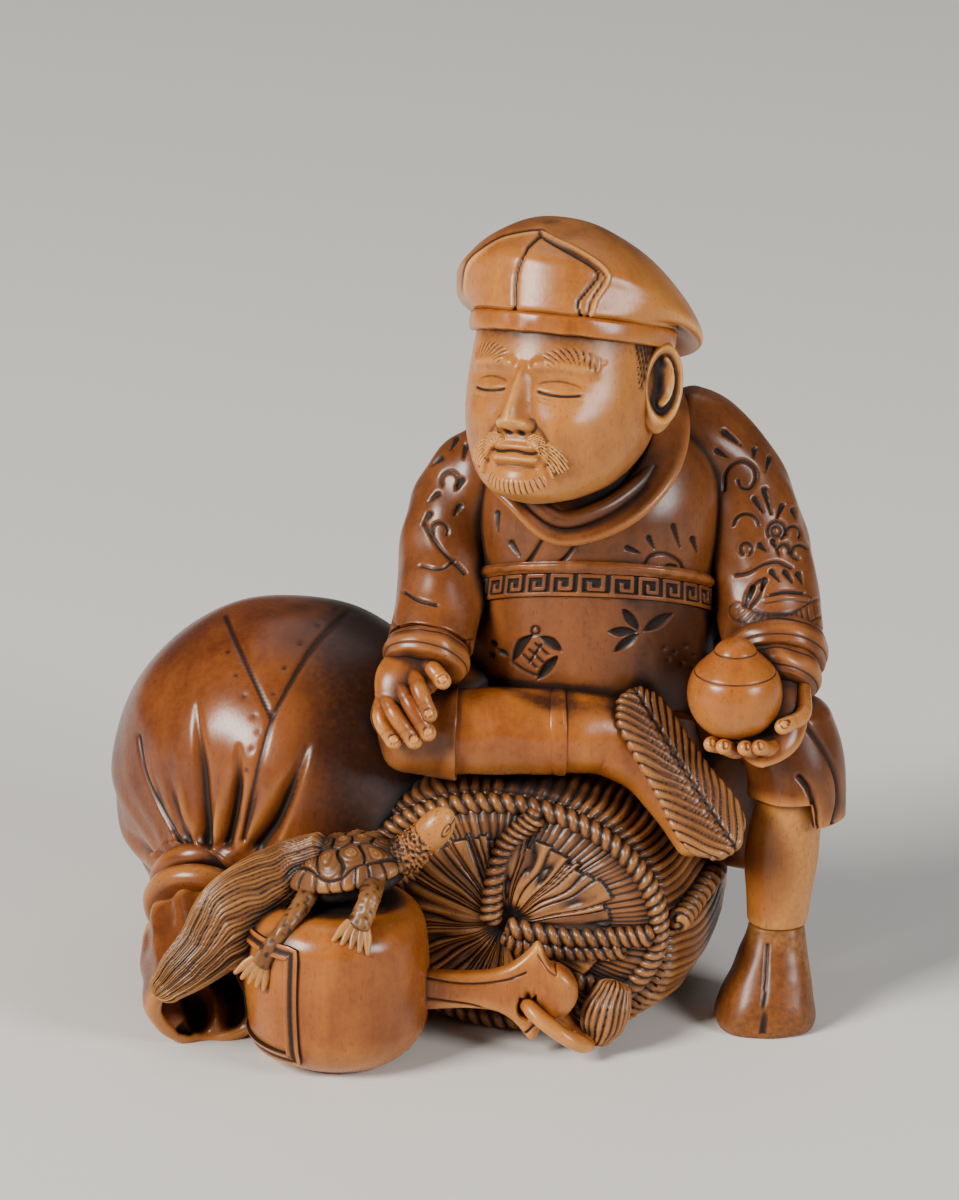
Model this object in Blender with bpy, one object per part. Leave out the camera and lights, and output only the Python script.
"""A carved wooden netsuke: a bearded figure in a soft cap sits on a straw rice bale, with a jewel in one
hand, a full sack behind, and a mallet in front that carries a long-tailed turtle.

Sizes are in millimetres and MM turns them into Blender's metres. +X is the viewer's right, +Y is away from
the viewer and +Z is up. The carving is one block of wood, so its pieces here are its carved forms. They are
listed in the order in which they keep their whole form: each later one is hollowed by the earlier ones that
it meets, with the named gap between them.
"""

import math

import bmesh
import bpy
import numpy as np

MM = 0.001
GAP = 0.2  # between two carved forms that meet
CENTRE_X = -0.28  # middle of the whole carving, left to right
CENTRE_Y = 1.42  # middle of the whole carving, front to back
DOME_STEPS = (35, 72)  # degrees round a rounded end

# Rice bale
BALE_HALF_WIDTH = 8.6
BALE_HALF_HEIGHT = 6.4
BALE_LENGTH = 12.6
BALE_TURN = 14.0  # degrees that its axis turns away to the right
BALE_FULL = 0.13  # share by which its lower right swells beyond an oval
BALE_FLAT = 0.3  # how much of its round underside is cut flat
TASSEL_TURN = -36.0  # degrees round the rim from the right to the top of the tassel
STRAW_RIBS = 20
ROPE_RADIUS = 0.5
ROPE_TURNS = 9  # twists in the rope round the rim
ROPE_SWELL = 0.17  # how far its strands stand out
LASHING_RADIUS = 0.42
RIM_SHARE = 0.86  # where the rope lies, as a share of the bale's half sizes
END_RAYS = 16
END_DEPTH = 1.0  # how deep the straw end is let into the bale, so that the ropes on it leave it whole
FIGURE_SEAT = 12.5  # height of the bale's top that the figure was drawn for

# Mallet
MALLET_RADIUS = 4.3
MALLET_HEIGHT = 7.8
MALLET_EDGE = 1.7  # rounding of its two ends
MALLET_X, MALLET_Y = -6.9, -6.9
PANEL_TURN = 205.0  # degrees round the drum from the right to the middle of the panel
PANEL_HALF_TURN = 37.0
PANEL_LOW = 1.15  # height of the panel's lower strip, and depth of its upper one
PANEL_STRIP = 0.6
HANDLE_Z = 3.5
HANDLE_THICKNESS = 1.1
STRAP_RADIUS = 0.36
STRAP_HOLE = 0.62

# Sack
SACK_RADIUS = 9.45
SACK_FLAT = 0.7  # how much of its round underside is cut flat
PLEATS = 8
TIE_RADIUS = 3.05
TIE_ROLL = 0.58
TIE_REACH = 7.7  # from the middle of the sack to its tie
MOUTH_RADIUS = 3.25
MOUTH_WALL = 0.95

# Figure
BELT_TILT = 25.0  # degrees that the belt rises towards the front
HEAD_TURN = 26.0  # degrees that the head turns to the viewer's left
HEAD_BACK = 21.0  # degrees that the head leans back
HEAD_ROLL = 6.0
FINGER_RADIUS = 0.46
JEWEL_RADIUS = 2.25
SOLE_THICKNESS = 0.75
CORD_HOLE_RADIUS = 1.1
CORD_HOLE_REACH = 2.8  # half the distance between the two cord holes

# Colours of the wood, as seen in daylight
PALE_WOOD = (176, 118, 66)
GOLDEN_WOOD = (160, 102, 54)
ROBE_WOOD = (124, 74, 40)
SACK_WOOD = (112, 58, 28)
STRAW_WOOD = (92, 56, 32)
DARK_EYE = (60, 22, 14)

PIECES = []


def unit(vector):
    vector = np.asarray(vector, float)
    return vector / np.linalg.norm(vector)


def spread(stations, steps, closed=False):
    """Rows on a smooth curve through the stations, with `steps` rows to each stretch."""
    rows = np.asarray(stations, float)
    if closed:
        padded = np.vstack([rows[-1], rows, rows[:2]])
    else:
        padded = np.vstack([2 * rows[0] - rows[1], rows, 2 * rows[-1] - rows[-2]])
    t = np.linspace(0, 1, steps, endpoint=False)[:, None]
    parts = [
        0.5 * (2 * b + (c - a) * t + (2 * a - 5 * b + 4 * c - d) * t**2 + (3 * b - a - 3 * c + d) * t**3)
        for a, b, c, d in zip(padded, padded[1:], padded[2:], padded[3:])
    ]
    return np.vstack(parts if closed else parts + [rows[-1:]])


def domed(rows, start, end):
    """The rows with a rounded end of this length added at each end, where it isn't 0."""
    angles = np.radians(DOME_STEPS)[:, None]

    def dome(edge, before, length):
        out = unit(edge[:3] - before[:3]) * length
        added = np.repeat(edge[None], len(angles), axis=0)
        added[:, :3] += np.sin(angles) * out
        added[:, 3:5] *= np.cos(angles)
        return added

    if start:
        rows = np.vstack([dome(rows[0], rows[1], start)[::-1], rows])
    if end:
        rows = np.vstack([rows, dome(rows[-1], rows[-2], end)])
    return rows


def sweep(rows, sides, across, axis=None, closed=False, power=2.0, lobes=0, turns=0):
    """A solid through one ring of points per row: x, y, z, half width, half depth and, if it has lobes, the
    share by which they swell. The half width lies along `across`. Rings stand square to the path or, where
    `axis` is given, square to that. A power over 2 makes the ring squarer."""
    rows = np.asarray(rows, float)
    centres = rows[:, None, :3]
    if axis is not None:
        along = np.tile(unit(axis), (len(rows), 1))
    elif closed:
        along = np.roll(rows[:, :3], -1, axis=0) - np.roll(rows[:, :3], 1, axis=0)
    else:
        along = np.gradient(rows[:, :3], axis=0)
    along /= np.linalg.norm(along, axis=1, keepdims=True)
    side = np.asarray(across, float) - (along @ np.asarray(across, float))[:, None] * along
    side /= np.linalg.norm(side, axis=1, keepdims=True)
    up = np.cross(along, side)
    angle = np.linspace(0, 2 * math.pi, sides, endpoint=False)
    swell = np.ones((len(rows), sides))
    if lobes:
        place = np.linspace(0, 1, len(rows), endpoint=not closed)[:, None]
        swell += rows[:, 5:6] * np.cos(lobes * angle[None] - 2 * math.pi * turns * place)
    cos, sin = (np.sign(f) * abs(f) ** (2 / power) for f in (np.cos(angle), np.sin(angle)))
    points = centres + swell[..., None] * (
        (rows[:, 3:4] * cos)[..., None] * side[:, None] + (rows[:, 4:5] * sin)[..., None] * up[:, None]
    )
    count = len(rows)
    faces = [
        (i * sides + k, i * sides + (k + 1) % sides, j * sides + (k + 1) % sides, j * sides + k)
        for i, j in zip(range(count), [*range(1, count), 0])
        if closed or j
        for k in range(sides)
    ]
    if not closed:
        faces.append(tuple(reversed(range(sides))))
        faces.append(tuple(range((count - 1) * sides, count * sides)))
    return points.reshape(-1, 3), faces


def limb(stations, sides=12, across=(1, 0, 0), ends=(0, 0), steps=1, **more):
    """A tapering round form along a smooth curve, with ends rounded by these lengths."""
    return sweep(domed(spread(stations, steps), *ends), sides, across, **more)


def ball(centre, radii, across=(1, 0, 0), up=(0, 0, 1), sides=12):
    """An egg round form with its half sizes along `across`, front to back, and along `up`."""
    wide, deep, high = radii
    up = unit(up)
    angles = np.radians(np.linspace(-80, 80, max(5, sides // 2 - 1)))
    middle = np.asarray(centre, float) + high * np.sin(angles)[:, None] * up
    rows = np.column_stack([middle, wide * np.cos(angles), deep * np.cos(angles)])
    return sweep(rows, sides, across, axis=up)


def hoop(centre, across, up, half_across, half_up, radius, count, sides=8, swell=0.0, lobes=0, turns=0):
    """A closed ring of rope or roll on an ellipse."""
    angle = np.linspace(0, 2 * math.pi, count, endpoint=False)[:, None]
    across, up = unit(across), unit(up)
    path = np.asarray(centre, float) + half_across * np.cos(angle) * across + half_up * np.sin(angle) * up
    rows = np.column_stack([path, np.full((count, 2), radius), np.full(count, swell)])
    return sweep(rows, sides, np.cross(across, up), closed=True, lobes=lobes, turns=turns)


def plate(outline, origin, across, up, thickness):
    """A flat form of this thickness with an outline given in `across` and `up`, centred on the origin."""
    across, up = unit(across), unit(up)
    half = np.cross(across, up) * thickness / 2
    flat = np.asarray(outline, float)
    middle = np.asarray(origin, float) + flat[:, :1] * across + flat[:, 1:] * up
    count = len(flat)
    faces = [(k, (k + 1) % count, count + (k + 1) % count, count + k) for k in range(count)]
    faces.append(tuple(reversed(range(count))))
    faces.append(tuple(range(count, 2 * count)))
    return np.vstack([middle - half, middle + half]), faces


def moved(stations, offset):
    """The stations with this offset added to their places."""
    rows = np.array(stations, float)
    rows[:, :3] += offset
    return rows


def piece(name, colour, *forms, seat=None):
    """A piece of the carving, as the union of its forms. What meets it is hollowed by them, or by the plainer
    form given as its seat."""
    PIECES.append((name, colour, forms, [seat] if seat else forms))


# The figure rises and sinks with the top of the bale
BALE_MIDDLE_Z = BALE_HALF_HEIGHT - BALE_FLAT
LIFT = np.array([0, 0, BALE_MIDDLE_Z + BALE_HALF_HEIGHT - FIGURE_SEAT])
BALE_AXIS = np.array([math.sin(math.radians(BALE_TURN)), math.cos(math.radians(BALE_TURN)), 0])
BALE_ACROSS = np.array([BALE_AXIS[1], -BALE_AXIS[0], 0])
BALE_FRONT = np.array([1.2, -4.2, BALE_MIDDLE_Z])
UP = np.array([0.0, 0.0, 1.0])

# Sack: its middle, the way from there to the tie, and the way out of its mouth
SACK_MIDDLE = np.array([-9.05, 5.1, SACK_RADIUS - SACK_FLAT])
SACK_AXIS = unit((-0.524, -0.756, -0.391))
SACK_ACROSS = unit(np.cross(SACK_AXIS, UP))
MOUTH_AXIS = unit((0.16, -0.88, -0.46))
TIE_AXIS = unit(SACK_AXIS + MOUTH_AXIS)
TIE = SACK_MIDDLE + TIE_REACH * SACK_AXIS

# Loop of the mallet's strap: where it passes through the handle, and its foot beside the tassel
STRAP_TOP = np.array([2.2, MALLET_Y - 0.6, 2.7])
STRAP_FOOT = np.array([4.9, MALLET_Y - 1.0, 0.85])


def bale_face_point(x, y):
    """A place on the end of the bale, from the middle of that end."""
    bulge = 0.85 * max(0.0, 1 - (x / BALE_HALF_WIDTH) ** 2 - (y / BALE_HALF_HEIGHT) ** 2)
    return BALE_FRONT + x * BALE_ACROSS + y * UP - (0.25 + bulge) * BALE_AXIS


def lashing(name, places, turns):
    """A twisted rope that lies along these places on the end of the bale."""
    rows = [[*bale_face_point(x, y), LASHING_RADIUS, LASHING_RADIUS, ROPE_SWELL] for x, y in places]
    rope = limb(rows, sides=6, across=BALE_AXIS, ends=(0.2, 0.2), steps=9, lobes=2, turns=turns)
    plain = np.array(rows)[:, :5] * (1, 1, 1, 1 + ROPE_SWELL, 1 + ROPE_SWELL)
    piece(name, STRAW_WOOD, rope, seat=limb(plain, sides=6, across=BALE_AXIS, ends=(0.2, 0.2), steps=2))


def bale_end():
    """The flat end of the bale: a low dome whose straw fans out from the middle in rays."""
    angle = np.linspace(0, 2 * math.pi, 2 * END_RAYS, endpoint=False)
    ridge = np.where(np.arange(2 * END_RAYS) % 2, -1, 1)
    shares = [(-END_DEPTH, 0.9), (0.0, 0.93), (0.12, 0.9), (0.5, 0.72), (0.72, 0.48), (0.84, 0.22), (0.86, 0.05)]
    points = []
    for forward, share in shares:
        out = (
            share * (RIM_SHARE * BALE_HALF_WIDTH - 0.4) * np.cos(angle)[:, None] * BALE_ACROSS
            + share * (RIM_SHARE * BALE_HALF_HEIGHT - 0.3) * np.sin(angle)[:, None] * UP
        )
        depth = forward + (0.09 * ridge * (share > 0.1) if forward > 0.2 else np.zeros_like(angle))
        points.append(BALE_FRONT + out - (GAP + depth)[:, None] * BALE_AXIS)
    count = 2 * END_RAYS
    faces = [
        (i * count + k, (i + 1) * count + k, (i + 1) * count + (k + 1) % count, i * count + (k + 1) % count)
        for i in range(len(shares) - 1)
        for k in range(count)
    ]
    faces.append(tuple(range(count)))
    faces.append(tuple(reversed(range((len(shares) - 1) * count, len(shares) * count))))
    points = np.vstack(points)
    # across x up points away from the viewer here, so the rings run the other way round
    return points, [tuple(reversed(face)) for face in faces]


def bale_body():
    """A straw roll that bulges between its ends, more to its lower right, with a rib for each handful."""
    shape = [(0, 0.885), (0.06, 0.94), (0.3, 1), (0.62, 1), (0.88, 0.95), (1.0, 0.86)]
    rows = [
        [*(BALE_FRONT + t * BALE_LENGTH * BALE_AXIS), s * BALE_HALF_WIDTH, s * BALE_HALF_HEIGHT, 0.012]
        for t, s in shape
    ]
    rows = domed(np.array(rows), 0, 0.9)
    points, faces = sweep(rows, 2 * STRAW_RIBS, BALE_ACROSS, power=2.15, lobes=STRAW_RIBS)
    middle = BALE_FRONT + ((points - BALE_FRONT) @ BALE_AXIS)[:, None] * BALE_AXIS
    out = points - middle
    lower_right = (out @ BALE_ACROSS > 0) & (out[:, 2] < 0)
    turn = np.arctan2(-out[:, 2] / BALE_HALF_HEIGHT, out @ BALE_ACROSS / BALE_HALF_WIDTH)
    return middle + out * (1 + BALE_FULL * np.where(lower_right, np.sin(2 * turn), 0))[:, None], faces


def tassel_rows():
    """The tassel hangs in front of the rim rope and comes down behind the foot of the mallet's strap."""
    turn = math.radians(TASSEL_TURN)
    rim = RIM_SHARE * (BALE_HALF_WIDTH * math.cos(turn) * BALE_ACROSS + BALE_HALF_HEIGHT * math.sin(turn) * UP)
    top = BALE_FRONT + rim - (ROPE_RADIUS * (1 + ROPE_SWELL) + 0.5) * BALE_AXIS - 0.08 * rim
    end = STRAP_FOOT + (0.55, 0.55, 0.1)
    return [
        (*top, 0.8, 0.8, 0.1), (*(top + 0.4 * (end - top)), 1.12, 1.1, 0.14),
        (*(top + 0.78 * (end - top)), 1.05, 1.0, 0.16), (*end, 0.75, 0.7, 0.14),
    ]


def bale():
    rim = (BALE_FRONT, BALE_ACROSS, UP, RIM_SHARE * BALE_HALF_WIDTH, RIM_SHARE * BALE_HALF_HEIGHT)
    rope = hoop(*rim, ROPE_RADIUS, 8 * ROPE_TURNS, sides=6, swell=ROPE_SWELL, lobes=2, turns=2 * ROPE_TURNS)
    piece("rim_rope", STRAW_WOOD, rope, seat=hoop(*rim, ROPE_RADIUS * (1 + ROPE_SWELL), 32, sides=6))
    lashing("upper_lashing", [(-0.2, 0.6), (-0.1, 2.4), (0.3, 4.4)], turns=9)
    lashing("side_lashing", [(0.6, 0.0), (3.0, -0.7), (5.9, -0.4)], turns=9)
    lashing("lower_lashing", [(0.4, -0.9), (2.2, -1.9), (4.4, -2.6)], turns=7)
    tassel = tassel_rows()
    plain = np.array(tassel)[:, :5] * (1, 1, 1, 1.12, 1.12)
    piece(
        "tassel",
        STRAW_WOOD,
        limb(tassel, sides=16, ends=(0.3, 0.4), steps=1, lobes=8),
        seat=limb(plain, sides=10, ends=(0.3, 0.4), steps=1),
    )
    piece("bale_end", STRAW_WOOD, bale_end())
    piece("bale_body", STRAW_WOOD, bale_body())


def mallet_strap():
    """The loop that runs through the hole of the handle and down to the tassel."""
    down = STRAP_FOOT - STRAP_TOP
    return hoop(STRAP_TOP + down / 2, down, (0, -1, 0), np.linalg.norm(down) / 2, 0.95, STRAP_RADIUS, 28)


def mallet_handle():
    """A waisted stem whose end opens like a fish tail, with a rounded knob between its two points."""
    half = [
        (-4.4, 0.95), (-3.0, 0.95), (-1.0, 0.85), (0.6, 0.95), (1.6, 1.5), (2.5, 2.45), (2.95, 2.4),
    ]
    top = [(x, HANDLE_Z + h) for x, h in half]
    knob_angles = np.radians(np.linspace(75, -75, 7))
    knob = [(3.5 + 1.05 * math.cos(a), HANDLE_Z - 0.15 + 1.35 * math.sin(a)) for a in knob_angles]
    bottom = [(x - 0.5 * (x > 2), HANDLE_Z - h * 1.08) for x, h in reversed(half)]
    outline = [*bottom[:0:-1], bottom[0]][::-1]
    return plate([*top, *knob, *outline][::-1], (0, MALLET_Y - 0.6, 0), (1, 0, 0), UP, HANDLE_THICKNESS)


def mallet_head():
    """A drum with slightly bulging sides and rounded ends, standing on one of them."""
    flat, edge = MALLET_RADIUS - MALLET_EDGE, MALLET_EDGE
    bottom = [(edge * (1 - math.cos(a)), flat + edge * math.sin(a)) for a in np.radians([0, 30, 60, 85])]
    middle = [(MALLET_HEIGHT / 2, MALLET_RADIUS + 0.08)]
    top = [(MALLET_HEIGHT - z, r) for z, r in reversed(bottom)]
    rows = [(MALLET_X, MALLET_Y, z, r, r) for z, r in [*bottom, *middle, *top]]
    return sweep(rows, 24, (1, 0, 0))


def panel_frame():
    """A raised strip round a rectangle on the side of the drum, which it follows."""
    middle, half = math.radians(PANEL_TURN), math.radians(PANEL_HALF_TURN)
    low, high = PANEL_LOW, MALLET_HEIGHT - PANEL_LOW
    corners = [(-1, low), (0, low), (1, low), (1, (low + high) / 2), (1, high), (0, high), (-1, high)]
    corners.append((-1, (low + high) / 2))
    out = np.array([math.cos(middle), math.sin(middle), 0])
    rows = []
    for turn, z in corners:
        angle = middle + turn * half
        reach = MALLET_RADIUS + 0.05
        rows.append([MALLET_X + reach * math.cos(angle), MALLET_Y + reach * math.sin(angle), z])
    rows = np.column_stack([rows, np.full((len(rows), 2), PANEL_STRIP / 2)])
    fine = np.vstack([np.linspace(a, b, 3, endpoint=False) for a, b in zip(rows, np.roll(rows, -1, axis=0))])
    return sweep(fine, 6, out, closed=True, power=4)


def mallet():
    piece("mallet_strap", GOLDEN_WOOD, mallet_strap())
    piece("mallet_handle", GOLDEN_WOOD, mallet_handle())
    piece("mallet_panel", GOLDEN_WOOD, panel_frame())
    piece("mallet_head", GOLDEN_WOOD, mallet_head())


# Turtle: it stands on the mallet and its long tail hangs over the sack's tie
TURTLE = np.array([-6.3, MALLET_Y + 0.3, MALLET_HEIGHT + 1.5])
TURTLE_AXIS = unit((0.96, -0.1, 0.2))
TURTLE_UP = unit(np.cross(TURTLE_AXIS, np.cross(UP, TURTLE_AXIS)))
TURTLE_SIDE = np.cross(TURTLE_UP, TURTLE_AXIS)


def turtle_place(along, side, up):
    return TURTLE + along * TURTLE_AXIS + side * TURTLE_SIDE + up * TURTLE_UP


def turtle_shell():
    """A low dome with a rim of plates, swollen at each of its back plates."""
    shape = [(-0.25, 0.86), (0.0, 1.0), (0.25, 0.98), (0.75, 0.82), (1.15, 0.58), (1.42, 0.3), (1.5, 0.06)]
    rows = [[*turtle_place(0, 0, up), 3.0 * s, 2.45 * s, 0.02] for up, s in shape]
    return sweep(rows, 22, TURTLE_AXIS, axis=TURTLE_UP, lobes=11)


def turtle_leg(start, knee, foot, width=0.62):
    """A bent leg that ends in a broad flat foot."""
    (a, b, c) = (turtle_place(*place) for place in (start, knee, foot))
    rows = [[*a, width, width], [*b, width * 0.85, width * 0.85], [*c, width * 0.9, width * 0.6]]
    return limb(rows, sides=8, across=TURTLE_AXIS, ends=(0.2, 0.35))


def turtle_tail():
    """The long hair that streams from the shell: a broad tongue, ridged along its length."""
    rows = [
        [*turtle_place(-1.9, 0.1, 0.1), 1.1, 1.8, 0.05],
        [*turtle_place(-3.2, 0.3, -0.2), 1.05, 2.2, 0.06],
        [*(TIE + (1.68, -6.52, 1.7)), 0.95, 2.3, 0.07],
        [*(TIE + (0.08, -6.98, 0.17)), 0.85, 1.9, 0.07],
        [*(TIE + (-1.32, -7.48, -1.43)), 0.7, 1.25, 0.07],
        [*(TIE + (-2.32, -7.78, -2.83)), 0.45, 0.6, 0.05],
    ]
    return limb(rows, sides=20, across=(0, 1, 0), ends=(0.3, 0.3), steps=1, lobes=10)


def turtle():
    eye = turtle_place(4.75, -0.62, 1.38)
    far_eye = turtle_place(4.75, 0.62, 1.38)
    piece("turtle_near_eye", DARK_EYE, ball(eye, (0.24, 0.24, 0.24), sides=8))
    piece("turtle_far_eye", DARK_EYE, ball(far_eye, (0.24, 0.24, 0.24), sides=8))
    skull = turtle_place(4.35, 0, 1.25)
    neck = [[*turtle_place(2.0, 0, 0.1), 0.9, 0.8], [*turtle_place(3.3, 0, 0.7), 0.72, 0.7],
            [*skull, 0.8, 0.75]]
    piece(
        "turtle_head",
        PALE_WOOD,
        ball(skull, (1.15, 0.82, 0.78), TURTLE_AXIS, TURTLE_UP, sides=14),
        limb(neck, sides=12, across=TURTLE_SIDE, ends=(0.3, 0.3)),
    )
    piece("turtle_near_front_leg", STRAW_WOOD, turtle_leg((1.3, -1.6, -0.2), (1.1, -2.9, -0.7), (0.5, -3.5, -1.8)))
    piece("turtle_far_front_leg", STRAW_WOOD, turtle_leg((1.3, 1.6, -0.2), (1.5, 2.4, -0.7), (1.9, 2.7, -1.35)))
    piece("turtle_near_hind_leg", STRAW_WOOD, turtle_leg((-1.7, -1.5, -0.3), (-2.9, -2.8, -1.3), (-3.9, -3.3, -2.5)))
    piece("turtle_far_hind_leg", STRAW_WOOD, turtle_leg((-1.6, 1.5, -0.3), (-2.3, 2.1, -0.8), (-2.6, 2.4, -1.35)))
    piece("turtle_shell", STRAW_WOOD, turtle_shell())
    belly = ball(turtle_place(0, 0, -0.55), (2.6, 2.0, 0.85), TURTLE_AXIS, TURTLE_UP, sides=14)
    piece("turtle_belly", STRAW_WOOD, belly)
    piece("turtle_tail", STRAW_WOOD, turtle_tail())


# Head: its own frame leans back, rolls to the right and turns to the viewer's left
HEAD_MIDDLE = np.array([3.7, -1.5, 30.6]) + LIFT


def head_axes():
    back, roll, turn = (math.radians(a) for a in (HEAD_BACK, HEAD_ROLL, HEAD_TURN))
    up = unit((math.sin(roll), math.cos(roll) * math.sin(back), math.cos(roll) * math.cos(back)))
    toward = np.array([0, -math.cos(back), math.sin(back)])
    right = np.cross(up, toward)
    front = unit(math.cos(turn) * toward - math.sin(turn) * right)
    return np.cross(up, front), -front, up


HEAD_SIDE, HEAD_REAR, HEAD_UP = head_axes()


def head_place(side, rear, up):
    return HEAD_MIDDLE + side * HEAD_SIDE + rear * HEAD_REAR + up * HEAD_UP


def head_stack(shape, power=2.0, sides=24):
    """Rings stacked up the head: height, middle from front to rear, half width and half depth."""
    rows = [[*head_place(0, middle, up), wide, deep] for up, middle, wide, deep in shape]
    return sweep(rows, sides, HEAD_SIDE, axis=HEAD_UP, power=power)


def head():
    skull = head_stack(
        [
            (-4.5, -2.2, 1.0, 0.9), (-4.15, -1.9, 2.1, 2.1), (-3.2, -1.0, 3.3, 3.3), (-1.6, -0.2, 4.15, 4.35),
            (0.2, 0.1, 4.5, 4.75), (2.0, 0.3, 4.5, 4.8), (3.4, 0.4, 4.4, 4.65),
        ]
    )
    nose = limb(
        [
            [*head_place(0, -4.3, 1.1), 0.4, 0.4], [*head_place(0, -4.75, 0.1), 0.55, 0.5],
            [*head_place(0, -5.0, -0.9), 0.85, 0.62],
        ],
        sides=10, across=HEAD_SIDE, ends=(0.3, 0.35),
    )
    ears = [
        ball(head_place(4.6 * hand, 0.8, 0.5), (0.8, 1.3, 2.3), HEAD_SIDE, HEAD_UP, sides=12)
        for hand in (-1, 1)
    ]
    neck = limb(
        [[*(np.array([5.2, 2.2, 27.6]) + LIFT), 2.8, 2.6], [*head_place(0, 0.8, -2.0), 2.6, 2.5]],
        sides=14, ends=(0.3, 0.3),
    )
    band = head_stack([(3.6, 0.4, 4.7, 5.0), (4.1, 0.45, 4.8, 5.15), (4.6, 0.5, 4.6, 4.95)])
    piece("cap_band", GOLDEN_WOOD, band)
    piece("head", PALE_WOOD, skull, nose, *ears, neck)
    skirt = head_stack([(4.75, 0.45, 4.65, 5.0), (5.3, 0.5, 5.1, 5.45), (6.2, 0.7, 5.1, 5.45)])
    piece("cap_crown", PALE_WOOD, cap_crown(), skirt)


def cap_crown():
    """A flat soft crown, wider than the head, that lies lower at the rear."""
    droop = math.radians(13)
    up = unit(math.cos(droop) * HEAD_UP + math.sin(droop) * HEAD_REAR)
    base = head_place(-0.3, 1.35, 4.3)
    shape = [
        (-0.35, 5.0, 5.4), (0.1, 5.75, 6.25), (0.75, 5.85, 6.35), (1.7, 5.3, 5.8), (2.8, 4.3, 4.7),
        (3.8, 2.9, 3.2), (4.45, 1.2, 1.4),
    ]
    rows = [[*(base + height * up - 0.12 * height * HEAD_REAR), wide, deep] for height, wide, deep in shape]
    return sweep(rows, 24, HEAD_SIDE, axis=up)


# Robe: rings that rise towards the front, from the seat to the neck
ROBE_STATIONS = [
    (5.3, 2.6, 9.6, 6.3, 5.2), (5.2, 2.0, 13.3, 6.4, 5.6), (5.2, 1.4, 16.5, 6.1, 5.6),
    (5.3, 1.2, 19.3, 5.8, 5.4), (5.4, 1.2, 21.3, 5.7, 5.2), (5.5, 1.4, 23.2, 5.9, 5.1),
    (5.6, 2.0, 25.0, 6.0, 4.8), (5.6, 2.7, 26.8, 5.6, 4.2), (5.4, 3.1, 28.3, 4.2, 3.3),
]
SKIRT_TOP, BELLY_TOP, FRET_TOP, BELT_TOP = 13.2, 19.1, 20.3, 20.95


def robe_axis():
    tilt = math.radians(BELT_TILT)
    return np.array([0, math.sin(tilt), math.cos(tilt)])


def robe_part(low, high, proud=0.0, sides=22):
    """The stretch of the robe between two heights, standing proud by this much."""
    rows = spread(ROBE_STATIONS, 6)
    heights = np.unique(np.concatenate([[low, high], rows[(rows[:, 2] > low) & (rows[:, 2] < high), 2][::3]]))
    cut = np.column_stack([np.interp(heights, rows[:, 2], rows[:, k]) for k in range(5)])
    cut[:, 3:5] += proud
    return sweep(moved(cut, LIFT), sides, (1, 0, 0), axis=robe_axis(), power=2.2)


def collar_loop():
    """The rolled collar: round the neck and down to the crossing on the chest."""
    stations = [
        (3.7, -4.0, 25.0), (6.6, -3.4, 25.5), (8.7, -1.9, 26.9), (9.5, 0.3, 28.6), (8.9, 3.2, 29.6),
        (6.2, 5.2, 29.4), (2.6, 4.2, 28.8), (0.6, 1.4, 28.2), (0.6, -1.8, 27.6), (1.9, -3.5, 26.4),
    ]
    rows = [[*(np.array(place) + LIFT), 0.62, 0.75] for place in stations]
    return sweep(spread(rows, 2, closed=True), 8, UP, closed=True)


def inner_collar():
    stations = [(0.95, -2.6, 28.3), (2.2, -3.8, 27.0), (3.7, -4.15, 26.0), (5.6, -3.6, 26.3), (7.4, -2.4, 27.2)]
    rows = [[*(np.array(place) + LIFT), 0.55, 0.5] for place in stations]
    return limb(rows, sides=8, across=UP, ends=(0.3, 0.3), steps=2)


def arm(stations, sides=12):
    return limb(moved(stations, LIFT), sides=sides, ends=(1.2, 0), steps=2)


RIGHT_SLEEVE = [
    (1.4, 2.8, 26.6, 2.1, 2.3), (-0.6, 2.2, 25.0, 2.3, 2.3), (-1.8, 1.2, 22.8, 2.1, 2.2),
    (-2.15, -0.9, 20.7, 1.9, 2.0), (-2.5, -2.6, 19.3, 1.95, 1.95),
]
RIGHT_CUFF = [(-2.55, -2.95, 19.0, 2.05, 2.1), (-2.65, -3.3, 18.7, 2.1, 2.15), (-2.75, -3.65, 18.4, 2.0, 2.05)]
LEFT_SLEEVE = [
    (9.9, 2.9, 26.9, 2.3, 2.5), (12.0, 2.5, 26.0, 2.5, 2.5), (13.2, 1.9, 23.6, 2.45, 2.5),
    (13.6, 0.8, 20.8, 2.35, 2.4), (13.9, -1.0, 18.9, 2.3, 2.3),
]
LEFT_OUTER_CUFF = [(13.95, -1.35, 18.65, 2.45, 2.45), (13.95, -1.8, 18.3, 2.5, 2.5), (13.95, -2.2, 18.0, 2.35, 2.35)]
LEFT_INNER_CUFF = [(13.95, -2.5, 17.75, 2.2, 2.2), (13.9, -2.9, 17.45, 2.2, 2.2), (13.85, -3.2, 17.2, 1.9, 1.9)]


def roll(stations):
    """A rolled hem: a short form with softly rounded edges."""
    return limb(moved(stations, LIFT), sides=12, ends=(0.12, 0.12))


def finger(stations, radius=FINGER_RADIUS):
    rows = [[*place, radius, radius] for place in stations]
    return limb(moved(rows, LIFT), sides=6, ends=(0, radius), across=(0, 0.3, 1), steps=1)


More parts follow.
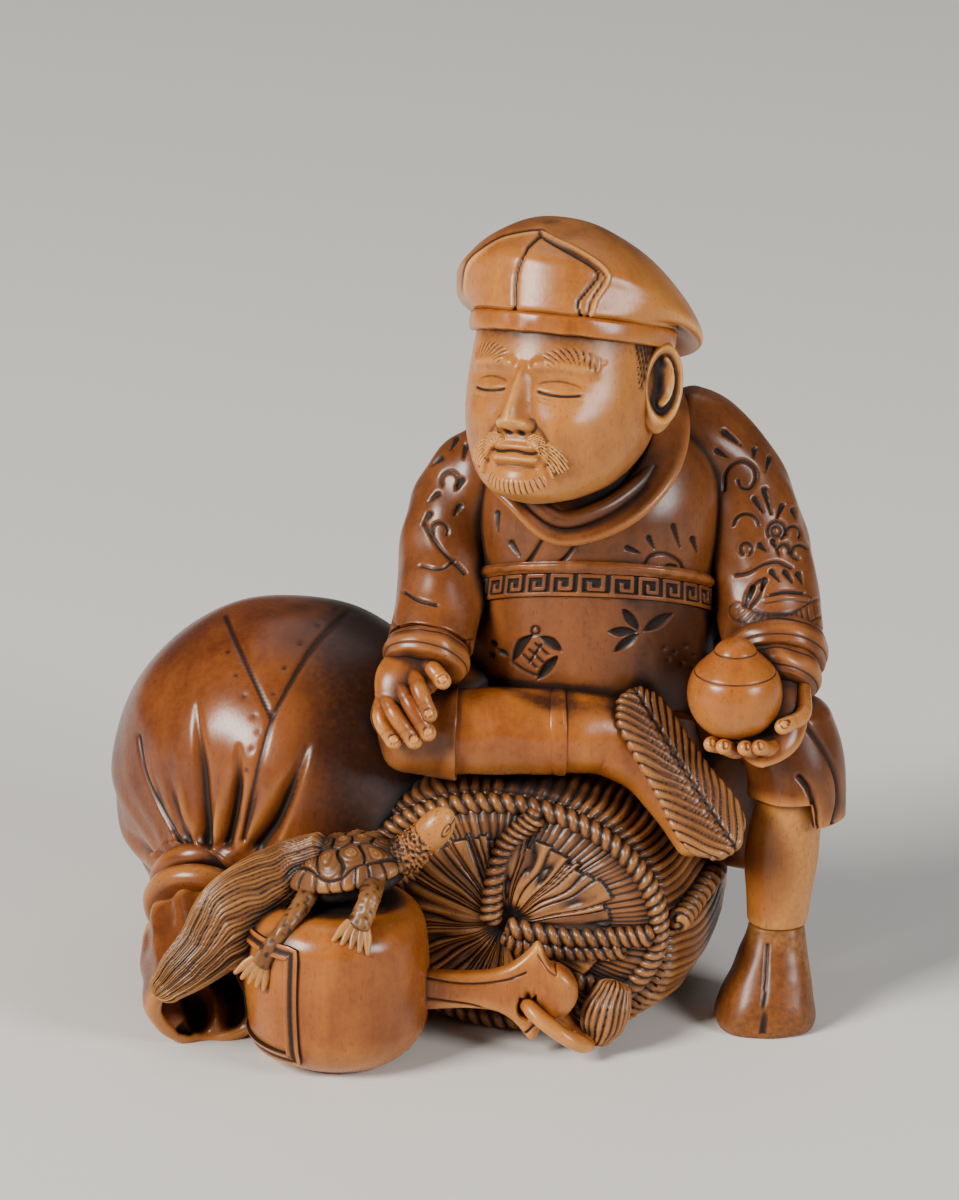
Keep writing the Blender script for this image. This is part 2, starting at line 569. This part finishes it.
def hands():
    palm = limb(
        moved([(-2.9, -3.6, 18.5, 1.5, 0.95), (-3.6, -4.3, 18.0, 1.45, 0.85), (-3.9, -4.9, 17.2, 1.2, 0.7)], LIFT),
        sides=12, ends=(0.4, 0.5),
    )
    right_fingers = [
        finger([(-2.95, -4.5, 18.2), (-2.65, -5.7, 17.6), (-2.25, -6.2, 16.6)]),
        finger([(-3.75, -4.7, 17.9), (-3.2, -5.9, 17.0), (-2.4, -6.3, 15.8)]),
        finger([(-4.35, -4.7, 17.5), (-3.85, -5.9, 16.6), (-3.05, -6.3, 15.45)]),
        finger([(-4.7, -4.8, 16.9), (-4.4, -5.7, 16.3), (-3.8, -6.1, 15.6)]),
        finger([(-2.4, -4.3, 18.4), (-1.9, -5.0, 18.4), (-1.45, -5.4, 18.1)]),
    ]
    piece("right_hand", GOLDEN_WOOD, palm, *right_fingers)
    jewel_middle = np.array([11.9, -5.0, 17.6]) + LIFT
    profile = [
        (-0.985, 0.2), (-0.9, 0.44), (-0.71, 0.71), (-0.38, 0.93), (0, 1.0), (0.3, 0.96), (0.52, 0.83),
        (0.93, 0.44), (1.0, 0.4), (1.13, 0.28), (1.2, 0.08),
    ]
    rows = [[*(jewel_middle + (0, 0, z * JEWEL_RADIUS)), *[r * JEWEL_RADIUS] * 2] for z, r in profile]
    piece("jewel", GOLDEN_WOOD, sweep(rows, 18, (1, 0, 0)))
    palm = limb(
        moved([(13.9, -2.6, 17.3, 1.5, 1.5), (14.0, -3.9, 16.4, 1.55, 1.2), (13.4, -5.0, 15.7, 1.7, 0.8)], LIFT),
        sides=12, ends=(0.3, 0.5),
    )
    left_fingers = [
        finger([(12.9, -4.3, 15.5), (11.9, -5.2, 14.8), (10.9, -5.9, 15.1)]),
        finger([(13.1, -4.8, 15.5), (12.3, -5.8, 14.9), (11.4, -6.5, 15.2)]),
        finger([(13.6, -5.0, 15.6), (13.0, -6.1, 15.0), (12.4, -6.8, 15.3)]),
        finger([(14.2, -5.0, 15.8), (13.8, -6.2, 15.3), (13.3, -6.9, 15.6)]),
        finger([(15.2, -4.1, 17.2), (15.1, -5.4, 16.4), (14.1, -6.5, 16.4)]),
    ]
    piece("left_hand", GOLDEN_WOOD, palm, *left_fingers)


# Right foot: it lies on its side, with the straw sole turned to the viewer
SOLE_MIDDLE = np.array([9.15, -4.9, 13.5])
SOLE_ALONG = unit((0.555, -0.416, -0.721))
SOLE_OUT = unit((0.247, -0.745, 0.62))
SOLE_WIDE = np.cross(SOLE_ALONG, SOLE_OUT)


def sandal_sole():
    shape = [(-4.1, 0.75), (-3.3, 1.25), (-1.5, 1.4), (0.5, 1.5), (2.4, 1.75), (3.6, 1.55), (4.3, 0.95)]
    half = SOLE_THICKNESS / 2
    rows = [[*(SOLE_MIDDLE + t * SOLE_ALONG), wide, half] for t, wide in shape]
    return limb(moved(rows, LIFT), sides=12, across=SOLE_WIDE, ends=(0.25, 0.25), steps=1, power=3.0)


def legs():
    piece("right_sandal_sole", STRAW_WOOD, sandal_sole())
    foot = limb(
        moved(
            [
                (4.7, -3.2, 14.5, 1.9, 1.95), (6.3, -3.0, 14.4, 2.0, 2.1), (7.9, -3.4, 13.1, 1.9, 1.7),
                (9.3, -4.3, 11.3, 1.8, 1.3), (10.2, -5.0, 10.0, 1.3, 0.9),
            ],
            LIFT,
        ),
        sides=14, across=SOLE_WIDE, ends=(0, 0.6),
    )
    piece("right_foot", GOLDEN_WOOD, foot)
    ankle = [(4.0, -3.2, 14.55, 2.05, 2.05), (4.25, -3.2, 14.55, 2.15, 2.15), (4.5, -3.2, 14.5, 2.05, 2.05)]
    piece("right_ankle_band", GOLDEN_WOOD, limb(moved(ankle, LIFT), sides=14, across=UP))
    legging = [(-1.0, -3.3, 14.75, 2.1, 2.1), (1.4, -3.3, 14.7, 2.2, 2.15), (3.8, -3.2, 14.6, 2.0, 2.0)]
    piece("right_legging", GOLDEN_WOOD, limb(moved(legging, LIFT), sides=14, across=UP))
    thigh = [(1.2, 1.8, 15.0, 2.3, 2.4), (-1.6, -0.6, 15.3, 2.4, 2.5), (-3.2, -2.8, 15.2, 2.3, 2.45)]
    shin = [(-3.3, -3.3, 15.0, 2.35, 2.4), (-1.2, -3.35, 14.8, 2.45, 2.4)]
    piece(
        "right_trouser",
        ROBE_WOOD,
        limb(moved(thigh, LIFT), sides=12, across=UP, ends=(0.6, 1.4)),
        limb(moved(shin, LIFT), sides=12, across=UP, ends=(1.5, 0)),
    )
    # The hanging leg stands on the floor, so only its upper end moves with the seat
    rise = LIFT[2]
    boot = [
        (14.2, -2.45, 4.8, 1.3, 1.45), (14.1, -2.65, 3.8, 1.5, 1.7), (13.95, -2.95, 2.6, 1.85, 2.1),
        (13.75, -3.2, 1.4, 2.2, 2.4), (13.65, -3.3, 0.5, 2.42, 2.5), (13.65, -3.3, 0.12, 2.36, 2.44),
        (13.65, -3.3, 0.0, 2.25, 2.3),
    ]
    piece("left_boot", GOLDEN_WOOD, sweep(boot[::-1], 20, (1, 0, 0), axis=UP, power=2.7))
    legging = [(14.2, -2.45, 5.0, 1.4, 1.5), (14.3, -2.4, 8.0, 1.8, 1.9), (14.3, -2.2, 12.2 + rise, 1.85, 1.9)]
    piece("left_legging", GOLDEN_WOOD, limb(legging, sides=14, ends=(0.1, 0)))
    thigh = [(9.6, 1.6, 15.0, 2.3, 2.3), (12.2, -0.3, 15.0, 2.35, 2.4), (14.2, -1.6, 14.5, 2.3, 2.4)]
    over_knee = [(14.4, -1.7, 14.6, 2.4, 2.3), (14.9, -2.0, 12.8, 2.4, 2.4), (15.0, -2.2, 10.7, 2.35, 2.5)]
    piece(
        "left_trouser",
        ROBE_WOOD,
        limb(moved(thigh, LIFT), sides=12, across=UP, ends=(0.6, 1.4)),
        limb(moved(over_knee, LIFT), sides=14, ends=(1.4, 0.1)),
    )


def figure():
    hands()
    head()
    piece("robe_collar", ROBE_WOOD, collar_loop())
    piece("inner_collar", ROBE_WOOD, inner_collar())
    piece("right_cuff", ROBE_WOOD, roll(RIGHT_CUFF))
    piece("left_inner_cuff", ROBE_WOOD, roll(LEFT_INNER_CUFF))
    piece("left_outer_cuff", ROBE_WOOD, roll(LEFT_OUTER_CUFF))
    piece("right_sleeve", ROBE_WOOD, arm(RIGHT_SLEEVE))
    piece("left_sleeve", ROBE_WOOD, arm(LEFT_SLEEVE))
    legs()
    piece("belt", ROBE_WOOD, robe_part(FRET_TOP + GAP, BELT_TOP, proud=0.3))
    piece("fret_band", ROBE_WOOD, robe_part(BELLY_TOP + GAP, FRET_TOP, proud=0.1))
    piece("robe_chest", ROBE_WOOD, robe_part(BELT_TOP + GAP, ROBE_STATIONS[-1][2]))
    piece("robe_belly", ROBE_WOOD, robe_part(SKIRT_TOP + GAP, BELLY_TOP))
    piece("robe_skirt", ROBE_WOOD, robe_part(ROBE_STATIONS[0][2], SKIRT_TOP, proud=0.25))


def sack_body():
    """A full round sack whose pleats deepen towards the tie."""
    shape = [
        (-8.0, 0.34, 0), (-7.3, 0.55, 0), (-5.0, 0.84, 0), (-2.0, 0.98, 0), (1.0, 0.98, 0.01), (3.6, 0.86, 0.025),
        (5.6, 0.64, 0.06), (6.9, 0.42, 0.1), (7.6, 0.34, 0.1),
    ]
    rows = [
        [*(SACK_MIDDLE + t * SACK_AXIS), s * (SACK_RADIUS + 0.1), s * (SACK_RADIUS + 0.1), pleat]
        for t, s, pleat in shape
    ]
    return sweep(rows, 4 * PLEATS, SACK_ACROSS, axis=SACK_AXIS, lobes=PLEATS)


def tie_roll(step):
    """One turn of the tie: a filled ring with a rounded edge."""
    middle = TIE + step * (2 * TIE_ROLL + GAP) * TIE_AXIS
    rows = []
    for angle in np.radians([-80, -45, 0, 45, 80]):
        reach = TIE_RADIUS - TIE_ROLL * (1 - math.cos(angle))
        rows.append([*(middle + TIE_ROLL * math.sin(angle) * TIE_AXIS), reach, reach])
    return sweep(rows, 20, SACK_ACROSS, axis=TIE_AXIS)


def sack_mouth():
    """The open end beyond the tie: a flaring cloth tube with a rolled rim and a hollow inside."""
    start = TIE + (3 * TIE_ROLL + 2 * GAP) * TIE_AXIS
    shape = [(0, -0.65), (0.8, -0.4), (2.4, -0.15), (4.4, -0.02), (4.9, 0), (5.15, -0.2)]
    inside = [(5.0, -MOUTH_WALL), (3.7, -0.2 - MOUTH_WALL), (2.3, -0.75 - MOUTH_WALL), (1.9, -1.6 - MOUTH_WALL)]
    rows = [[*(start + t * MOUTH_AXIS), *[MOUTH_RADIUS + change] * 2] for t, change in [*shape, *inside]]
    return sweep(rows, 20, (1, 0, 0), axis=MOUTH_AXIS)


def sack():
    piece("upper_tie_roll", SACK_WOOD, tie_roll(0))
    piece("lower_tie_roll", SACK_WOOD, tie_roll(1))
    piece("sack_mouth", SACK_WOOD, sack_mouth())
    piece("sack_body", SACK_WOOD, sack_body())


def wood(name, colour):
    """Wood of this colour, given as it looks in daylight, 0 to 255."""
    shares = np.array(colour) / 255
    linear = np.where(shares < 0.04045, shares / 12.92, ((shares + 0.055) / 1.055) ** 2.4)
    material = bpy.data.materials.new(name + "_wood")
    material.use_nodes = True
    shader = material.node_tree.nodes["Principled BSDF"]
    shader.inputs["Base Color"].default_value = (*linear, 1)
    shader.inputs["Roughness"].default_value = 0.38
    shader.inputs["Metallic"].default_value = 0.0
    return material


def solid(name, form, helper=False):
    """An object for this form, with its origin in the middle of the form."""
    points, faces = form
    points = (points - (CENTRE_X, CENTRE_Y, 0)) * MM
    middle = (points.min(axis=0) + points.max(axis=0)) / 2
    mesh = bpy.data.meshes.new(name)
    mesh.from_pydata((points - middle).tolist(), [], faces)
    mesh.shade_smooth()
    mesh.set_sharp_from_angle(angle=math.radians(50))
    made = bpy.data.objects.new(name, mesh)
    made.location = middle
    bpy.context.scene.collection.objects.link(made)
    if helper:
        made.hide_render = True
        made.display_type = "WIRE"
    return made


def combine(target, other, operation, solver="EXACT"):
    step = target.modifiers.new(operation.title(), "BOOLEAN")
    step.operation = operation
    step.solver = solver
    step.object = other


def grown(name, form):
    """The form a gap larger all round, to hollow what meets it."""
    cutter = solid(name + "_seat", form, helper=True)
    swell = cutter.modifiers.new("Gap", "DISPLACE")
    swell.direction = "NORMAL"
    swell.mid_level = 0
    swell.strength = GAP * MM
    return cutter


def meet(first, second):
    """Whether the boxes of two forms come within a gap of each other."""
    low = np.maximum(first[0].min(axis=0), second[0].min(axis=0))
    high = np.minimum(first[0].max(axis=0), second[0].max(axis=0))
    return bool((low < high + 2 * GAP).all())


def floor_block():
    corners = [(-40, -40), (40, -40), (40, 40), (-40, 40)]
    return solid("floor", plate(corners, (0, 0, -10), (1, 0, 0), (0, 1, 0), 20), helper=True)


def cord_channel():
    """The curved tunnel for the cord, in the back of the robe, with a hole at each end."""
    middle = np.array([5.5, 6.3, 21.6]) + LIFT
    ring = hoop(middle, (1, 0, 0), (0, 1, 0), CORD_HOLE_REACH, CORD_HOLE_REACH, CORD_HOLE_RADIUS, 20, sides=12)
    return solid("cord_channel", ring, helper=True)


def carved(made):
    """Applies a piece's cuts and clears the shavings that they leave, which is all but its largest body."""
    mesh = bpy.data.meshes.new_from_object(made.evaluated_get(bpy.context.evaluated_depsgraph_get()))
    made.modifiers.clear()
    made.data = mesh
    wood_mesh = bmesh.new()
    wood_mesh.from_mesh(mesh)
    bmesh.ops.triangulate(wood_mesh, faces=wood_mesh.faces)
    bodies, left = [], set(wood_mesh.faces)
    while left:
        body, edge = set(), [left.pop()]
        while edge:
            face = edge.pop()
            body.add(face)
            near = {other for vertex in face.verts for other in vertex.link_faces} & left
            left -= near
            edge.extend(near)
        volume = sum(v[0].co.dot(v[1].co.cross(v[2].co)) for v in (face.verts for face in body))
        bodies.append((volume, body))
    bodies.sort(key=lambda found: -found[0])
    shavings = [face for _, body in bodies[1:] for face in body]
    bmesh.ops.delete(wood_mesh, geom=shavings, context="FACES")
    wood_mesh.to_mesh(mesh)
    wood_mesh.free()
    mesh.shade_smooth()
    mesh.set_sharp_from_angle(angle=math.radians(50))


def assemble():
    """Builds every piece, hollowed by the earlier pieces that it meets and by the floor."""
    floor = floor_block()
    own_cuts = {"robe_chest": cord_channel(), "mallet_handle": strap_hole()}
    seats = []
    for name, colour, forms, seat_forms in PIECES:
        made = solid(name, forms[0])
        made.data.materials.append(wood(name, colour))
        for number, form in enumerate(forms[1:]):
            combine(made, solid(f"{name}_form_{number}", form, helper=True), "UNION")
        for form, cutter in seats:
            if any(meet(form, own) for own in forms):
                # EXACT empties some pieces where a swollen cutter crosses itself in a tight bend
                combine(made, cutter, "DIFFERENCE", solver="MANIFOLD")
        if min(form[0][:, 2].min() for form in forms) < 0:
            combine(made, floor, "DIFFERENCE")
        if name in own_cuts:
            combine(made, own_cuts[name], "DIFFERENCE")
        carved(made)
        seats += [(form, grown(name, form)) for form in seat_forms]
    for helper in [found for found in bpy.data.objects if found.hide_render]:
        bpy.data.objects.remove(helper)


def strap_hole():
    """The hole in the end of the handle, as a rod to cut it with."""
    rows = [[*(STRAP_TOP + (0, y, 0)), STRAP_HOLE, STRAP_HOLE] for y in (-1.5, 1.5)]
    return solid("strap_hole", sweep(rows, 14, (1, 0, 0)), helper=True)


def main():
    for old in list(bpy.data.objects):
        bpy.data.objects.remove(old)
    bale()
    mallet()
    turtle()
    figure()
    sack()
    assemble()


main()
